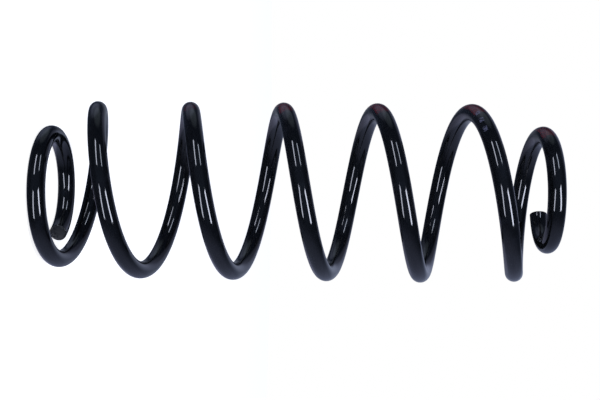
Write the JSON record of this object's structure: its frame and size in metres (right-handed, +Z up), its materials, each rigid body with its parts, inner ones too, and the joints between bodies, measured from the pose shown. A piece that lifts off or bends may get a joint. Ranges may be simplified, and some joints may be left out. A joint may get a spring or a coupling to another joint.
{
  "type": "coil spring",
  "caption": "Right-hand wound compression spring of black coated steel wire for a car's suspension, with a smaller flat coil at each end and wide open middle coils.",
  "frame": {"origin": "centre of the lower seat, where the spring's axis meets the plane that the lower end coil stands on", "axes": "+Z up along the spring's axis to the upper seat; +X from the axis through the lower cut end; the wire climbs anticlockwise seen from above"},
  "size_m": [0.132, 0.132, 0.38],
  "materials": {
    "coated_wire": "gloss black powder coat over spring steel"
  },
  "bodies": {
    "lower_end_coil": {"lower_cut_end": "coated_wire", "coil_1_arc_2": "coated_wire", "coil_1_arc_3": "coated_wire", "coil_1_arc_4": "coated_wire", "coil_1_arc_5": "coated_wire", "coil_1_arc_6": "coated_wire", "coil_1_arc_7": "coated_wire"},
    "upper_end_coil": {"coil_7_arc_5": "coated_wire", "coil_7_arc_6": "coated_wire", "coil_7_arc_7": "coated_wire", "coil_7_arc_8": "coated_wire", "upper_cut_end": "coated_wire"},
    "coil_1_arc_8_body": {"coil_1_arc_8": "coated_wire"},
    "coil_2_arc_1_body": {"coil_2_arc_1": "coated_wire"},
    "coil_2_arc_2_body": {"coil_2_arc_2": "coated_wire"},
    "coil_2_arc_3_body": {"coil_2_arc_3": "coated_wire"},
    "coil_2_arc_4_body": {"coil_2_arc_4": "coated_wire"},
    "coil_2_arc_5_body": {"coil_2_arc_5": "coated_wire"},
    "coil_2_arc_6_body": {"coil_2_arc_6": "coated_wire"},
    "coil_2_arc_7_body": {"coil_2_arc_7": "coated_wire"},
    "coil_2_arc_8_body": {"coil_2_arc_8": "coated_wire"},
    "coil_3_arc_1_body": {"coil_3_arc_1": "coated_wire"},
    "coil_3_arc_2_body": {"coil_3_arc_2": "coated_wire"},
    "coil_3_arc_3_body": {"coil_3_arc_3": "coated_wire"},
    "coil_3_arc_4_body": {"coil_3_arc_4": "coated_wire"},
    "coil_3_arc_5_body": {"coil_3_arc_5": "coated_wire"},
    "coil_3_arc_6_body": {"coil_3_arc_6": "coated_wire"},
    "coil_3_arc_7_body": {"coil_3_arc_7": "coated_wire"},
    "coil_3_arc_8_body": {"coil_3_arc_8": "coated_wire"},
    "coil_4_arc_1_body": {"coil_4_arc_1": "coated_wire"},
    "coil_4_arc_2_body": {"coil_4_arc_2": "coated_wire"},
    "coil_4_arc_3_body": {"coil_4_arc_3": "coated_wire"},
    "coil_4_arc_4_body": {"coil_4_arc_4": "coated_wire"},
    "coil_4_arc_5_body": {"coil_4_arc_5": "coated_wire"},
    "coil_4_arc_6_body": {"coil_4_arc_6": "coated_wire"},
    "coil_4_arc_7_body": {"coil_4_arc_7": "coated_wire"},
    "coil_4_arc_8_body": {"coil_4_arc_8": "coated_wire"},
    "coil_5_arc_1_body": {"coil_5_arc_1": "coated_wire"},
    "coil_5_arc_2_body": {"coil_5_arc_2": "coated_wire"},
    "coil_5_arc_3_body": {"coil_5_arc_3": "coated_wire"},
    "coil_5_arc_4_body": {"coil_5_arc_4": "coated_wire"},
    "coil_5_arc_5_body": {"coil_5_arc_5": "coated_wire"},
    "coil_5_arc_6_body": {"coil_5_arc_6": "coated_wire"},
    "coil_5_arc_7_body": {"coil_5_arc_7": "coated_wire"},
    "coil_5_arc_8_body": {"coil_5_arc_8": "coated_wire"},
    "coil_6_arc_1_body": {"coil_6_arc_1": "coated_wire"},
    "coil_6_arc_2_body": {"coil_6_arc_2": "coated_wire"},
    "coil_6_arc_3_body": {"coil_6_arc_3": "coated_wire"},
    "coil_6_arc_4_body": {"coil_6_arc_4": "coated_wire"},
    "coil_6_arc_5_body": {"coil_6_arc_5": "coated_wire"},
    "coil_6_arc_6_body": {"coil_6_arc_6": "coated_wire"},
    "coil_6_arc_7_body": {"coil_6_arc_7": "coated_wire"},
    "coil_6_arc_8_body": {"coil_6_arc_8": "coated_wire"},
    "coil_7_arc_1_body": {"coil_7_arc_1": "coated_wire"},
    "coil_7_arc_2_body": {"coil_7_arc_2": "coated_wire"},
    "coil_7_arc_3_body": {"coil_7_arc_3": "coated_wire"},
    "coil_7_arc_4_body": {"coil_7_arc_4": "coated_wire"}
  },
  "joints": [
    {"name": "compression", "type": "slide", "parent": "lower_end_coil", "child": "upper_end_coil", "axis": [0, 0, -1], "range_m": [0, 0.27], "stiffness_N_per_m": 28000},
    {"name": "coil_1_arc_8_drop", "type": "slide", "parent": "lower_end_coil", "child": "coil_1_arc_8_body", "axis": [0, 0, -1], "range_m": [0, 0.00358]},
    {"name": "coil_2_arc_1_drop", "type": "slide", "parent": "lower_end_coil", "child": "coil_2_arc_1_body", "axis": [0, 0, -1], "range_m": [0, 0.00726]},
    {"name": "coil_2_arc_2_drop", "type": "slide", "parent": "lower_end_coil", "child": "coil_2_arc_2_body", "axis": [0, 0, -1], "range_m": [0, 0.01228]},
    {"name": "coil_2_arc_3_drop", "type": "slide", "parent": "lower_end_coil", "child": "coil_2_arc_3_body", "axis": [0, 0, -1], "range_m": [0, 0.01824]},
    {"name": "coil_2_arc_4_drop", "type": "slide", "parent": "lower_end_coil", "child": "coil_2_arc_4_body", "axis": [0, 0, -1], "range_m": [0, 0.02459]},
    {"name": "coil_2_arc_5_drop", "type": "slide", "parent": "lower_end_coil", "child": "coil_2_arc_5_body", "axis": [0, 0, -1], "range_m": [0, 0.03093]},
    {"name": "coil_2_arc_6_drop", "type": "slide", "parent": "lower_end_coil", "child": "coil_2_arc_6_body", "axis": [0, 0, -1], "range_m": [0, 0.03731]},
    {"name": "coil_2_arc_7_drop", "type": "slide", "parent": "lower_end_coil", "child": "coil_2_arc_7_body", "axis": [0, 0, -1], "range_m": [0, 0.04365]},
    {"name": "coil_2_arc_8_drop", "type": "slide", "parent": "lower_end_coil", "child": "coil_2_arc_8_body", "axis": [0, 0, -1], "range_m": [0, 0.05]},
    {"name": "coil_3_arc_1_drop", "type": "slide", "parent": "lower_end_coil", "child": "coil_3_arc_1_body", "axis": [0, 0, -1], "range_m": [0, 0.05637]},
    {"name": "coil_3_arc_2_drop", "type": "slide", "parent": "lower_end_coil", "child": "coil_3_arc_2_body", "axis": [0, 0, -1], "range_m": [0, 0.06271]},
    {"name": "coil_3_arc_3_drop", "type": "slide", "parent": "lower_end_coil", "child": "coil_3_arc_3_body", "axis": [0, 0, -1], "range_m": [0, 0.06906]},
    {"name": "coil_3_arc_4_drop", "type": "slide", "parent": "lower_end_coil", "child": "coil_3_arc_4_body", "axis": [0, 0, -1], "range_m": [0, 0.07543]},
    {"name": "coil_3_arc_5_drop", "type": "slide", "parent": "lower_end_coil", "child": "coil_3_arc_5_body", "axis": [0, 0, -1], "range_m": [0, 0.08178]},
    {"name": "coil_3_arc_6_drop", "type": "slide", "parent": "lower_end_coil", "child": "coil_3_arc_6_body", "axis": [0, 0, -1], "range_m": [0, 0.08812]},
    {"name": "coil_3_arc_7_drop", "type": "slide", "parent": "lower_end_coil", "child": "coil_3_arc_7_body", "axis": [0, 0, -1], "range_m": [0, 0.09446]},
    {"name": "coil_3_arc_8_drop", "type": "slide", "parent": "lower_end_coil", "child": "coil_3_arc_8_body", "axis": [0, 0, -1], "range_m": [0, 0.10084]},
    {"name": "coil_4_arc_1_drop", "type": "slide", "parent": "lower_end_coil", "child": "coil_4_arc_1_body", "axis": [0, 0, -1], "range_m": [0, 0.10718]},
    {"name": "coil_4_arc_2_drop", "type": "slide", "parent": "lower_end_coil", "child": "coil_4_arc_2_body", "axis": [0, 0, -1], "range_m": [0, 0.11353]},
    {"name": "coil_4_arc_3_drop", "type": "slide", "parent": "lower_end_coil", "child": "coil_4_arc_3_body", "axis": [0, 0, -1], "range_m": [0, 0.1199]},
    {"name": "coil_4_arc_4_drop", "type": "slide", "parent": "lower_end_coil", "child": "coil_4_arc_4_body", "axis": [0, 0, -1], "range_m": [0, 0.12624]},
    {"name": "coil_4_arc_5_drop", "type": "slide", "parent": "lower_end_coil", "child": "coil_4_arc_5_body", "axis": [0, 0, -1], "range_m": [0, 0.13259]},
    {"name": "coil_4_arc_6_drop", "type": "slide", "parent": "lower_end_coil", "child": "coil_4_arc_6_body", "axis": [0, 0, -1], "range_m": [0, 0.13893]},
    {"name": "coil_4_arc_7_drop", "type": "slide", "parent": "lower_end_coil", "child": "coil_4_arc_7_body", "axis": [0, 0, -1], "range_m": [0, 0.14531]},
    {"name": "coil_4_arc_8_drop", "type": "slide", "parent": "lower_end_coil", "child": "coil_4_arc_8_body", "axis": [0, 0, -1], "range_m": [0, 0.15165]},
    {"name": "coil_5_arc_1_drop", "type": "slide", "parent": "lower_end_coil", "child": "coil_5_arc_1_body", "axis": [0, 0, -1], "range_m": [0, 0.158]},
    {"name": "coil_5_arc_2_drop", "type": "slide", "parent": "lower_end_coil", "child": "coil_5_arc_2_body", "axis": [0, 0, -1], "range_m": [0, 0.16437]},
    {"name": "coil_5_arc_3_drop", "type": "slide", "parent": "lower_end_coil", "child": "coil_5_arc_3_body", "axis": [0, 0, -1], "range_m": [0, 0.17071]},
    {"name": "coil_5_arc_4_drop", "type": "slide", "parent": "lower_end_coil", "child": "coil_5_arc_4_body", "axis": [0, 0, -1], "range_m": [0, 0.17706]},
    {"name": "coil_5_arc_5_drop", "type": "slide", "parent": "lower_end_coil", "child": "coil_5_arc_5_body", "axis": [0, 0, -1], "range_m": [0, 0.18343]},
    {"name": "coil_5_arc_6_drop", "type": "slide", "parent": "lower_end_coil", "child": "coil_5_arc_6_body", "axis": [0, 0, -1], "range_m": [0, 0.18977]},
    {"name": "coil_5_arc_7_drop", "type": "slide", "parent": "lower_end_coil", "child": "coil_5_arc_7_body", "axis": [0, 0, -1], "range_m": [0, 0.19612]},
    {"name": "coil_5_arc_8_drop", "type": "slide", "parent": "lower_end_coil", "child": "coil_5_arc_8_body", "axis": [0, 0, -1], "range_m": [0, 0.20247]},
    {"name": "coil_6_arc_1_drop", "type": "slide", "parent": "lower_end_coil", "child": "coil_6_arc_1_body", "axis": [0, 0, -1], "range_m": [0, 0.20884]},
    {"name": "coil_6_arc_2_drop", "type": "slide", "parent": "lower_end_coil", "child": "coil_6_arc_2_body", "axis": [0, 0, -1], "range_m": [0, 0.21518]},
    {"name": "coil_6_arc_3_drop", "type": "slide", "parent": "lower_end_coil", "child": "coil_6_arc_3_body", "axis": [0, 0, -1], "range_m": [0, 0.22153]},
    {"name": "coil_6_arc_4_drop", "type": "slide", "parent": "lower_end_coil", "child": "coil_6_arc_4_body", "axis": [0, 0, -1], "range_m": [0, 0.2279]},
    {"name": "coil_6_arc_5_drop", "type": "slide", "parent": "lower_end_coil", "child": "coil_6_arc_5_body", "axis": [0, 0, -1], "range_m": [0, 0.23424]},
    {"name": "coil_6_arc_6_drop", "type": "slide", "parent": "lower_end_coil", "child": "coil_6_arc_6_body", "axis": [0, 0, -1], "range_m": [0, 0.24059]},
    {"name": "coil_6_arc_7_drop", "type": "slide", "parent": "lower_end_coil", "child": "coil_6_arc_7_body", "axis": [0, 0, -1], "range_m": [0, 0.24685]},
    {"name": "coil_6_arc_8_drop", "type": "slide", "parent": "lower_end_coil", "child": "coil_6_arc_8_body", "axis": [0, 0, -1], "range_m": [0, 0.25274]},
    {"name": "coil_7_arc_1_drop", "type": "slide", "parent": "lower_end_coil", "child": "coil_7_arc_1_body", "axis": [0, 0, -1], "range_m": [0, 0.25792]},
    {"name": "coil_7_arc_2_drop", "type": "slide", "parent": "lower_end_coil", "child": "coil_7_arc_2_body", "axis": [0, 0, -1], "range_m": [0, 0.26222]},
    {"name": "coil_7_arc_3_drop", "type": "slide", "parent": "lower_end_coil", "child": "coil_7_arc_3_body", "axis": [0, 0, -1], "range_m": [0, 0.26554]},
    {"name": "coil_7_arc_4_drop", "type": "slide", "parent": "lower_end_coil", "child": "coil_7_arc_4_body", "axis": [0, 0, -1], "range_m": [0, 0.26786]}
  ],
  "couplings": [
    {"joint": "coil_1_arc_8_drop", "follows": "compression", "ratio": 0.0129},
    {"joint": "coil_2_arc_1_drop", "follows": "compression", "ratio": 0.0265},
    {"joint": "coil_2_arc_2_drop", "follows": "compression", "ratio": 0.0451},
    {"joint": "coil_2_arc_3_drop", "follows": "compression", "ratio": 0.0672},
    {"joint": "coil_2_arc_4_drop", "follows": "compression", "ratio": 0.0907},
    {"joint": "coil_2_arc_5_drop", "follows": "compression", "ratio": 0.1142},
    {"joint": "coil_2_arc_6_drop", "follows": "compression", "ratio": 0.1378},
    {"joint": "coil_2_arc_7_drop", "follows": "compression", "ratio": 0.1613},
    {"joint": "coil_2_arc_8_drop", "follows": "compression", "ratio": 0.1848},
    {"joint": "coil_3_arc_1_drop", "follows": "compression", "ratio": 0.2084},
    {"joint": "coil_3_arc_2_drop", "follows": "compression", "ratio": 0.2319},
    {"joint": "coil_3_arc_3_drop", "follows": "compression", "ratio": 0.2554},
    {"joint": "coil_3_arc_4_drop", "follows": "compression", "ratio": 0.279},
    {"joint": "coil_3_arc_5_drop", "follows": "compression", "ratio": 0.3025},
    {"joint": "coil_3_arc_6_drop", "follows": "compression", "ratio": 0.326},
    {"joint": "coil_3_arc_7_drop", "follows": "compression", "ratio": 0.3495},
    {"joint": "coil_3_arc_8_drop", "follows": "compression", "ratio": 0.3731},
    {"joint": "coil_4_arc_1_drop", "follows": "compression", "ratio": 0.3966},
    {"joint": "coil_4_arc_2_drop", "follows": "compression", "ratio": 0.4201},
    {"joint": "coil_4_arc_3_drop", "follows": "compression", "ratio": 0.4437},
    {"joint": "coil_4_arc_4_drop", "follows": "compression", "ratio": 0.4672},
    {"joint": "coil_4_arc_5_drop", "follows": "compression", "ratio": 0.4907},
    {"joint": "coil_4_arc_6_drop", "follows": "compression", "ratio": 0.5142},
    {"joint": "coil_4_arc_7_drop", "follows": "compression", "ratio": 0.5378},
    {"joint": "coil_4_arc_8_drop", "follows": "compression", "ratio": 0.5613},
    {"joint": "coil_5_arc_1_drop", "follows": "compression", "ratio": 0.5848},
    {"joint": "coil_5_arc_2_drop", "follows": "compression", "ratio": 0.6084},
    {"joint": "coil_5_arc_3_drop", "follows": "compression", "ratio": 0.6319},
    {"joint": "coil_5_arc_4_drop", "follows": "compression", "ratio": 0.6554},
    {"joint": "coil_5_arc_5_drop", "follows": "compression", "ratio": 0.679},
    {"joint": "coil_5_arc_6_drop", "follows": "compression", "ratio": 0.7025},
    {"joint": "coil_5_arc_7_drop", "follows": "compression", "ratio": 0.726},
    {"joint": "coil_5_arc_8_drop", "follows": "compression", "ratio": 0.7495},
    {"joint": "coil_6_arc_1_drop", "follows": "compression", "ratio": 0.7731},
    {"joint": "coil_6_arc_2_drop", "follows": "compression", "ratio": 0.7966},
    {"joint": "coil_6_arc_3_drop", "follows": "compression", "ratio": 0.8201},
    {"joint": "coil_6_arc_4_drop", "follows": "compression", "ratio": 0.8437},
    {"joint": "coil_6_arc_5_drop", "follows": "compression", "ratio": 0.8672},
    {"joint": "coil_6_arc_6_drop", "follows": "compression", "ratio": 0.8907},
    {"joint": "coil_6_arc_7_drop", "follows": "compression", "ratio": 0.9139},
    {"joint": "coil_6_arc_8_drop", "follows": "compression", "ratio": 0.9357},
    {"joint": "coil_7_arc_1_drop", "follows": "compression", "ratio": 0.9549},
    {"joint": "coil_7_arc_2_drop", "follows": "compression", "ratio": 0.9708},
    {"joint": "coil_7_arc_3_drop", "follows": "compression", "ratio": 0.9831},
    {"joint": "coil_7_arc_4_drop", "follows": "compression", "ratio": 0.9917}
  ]
}
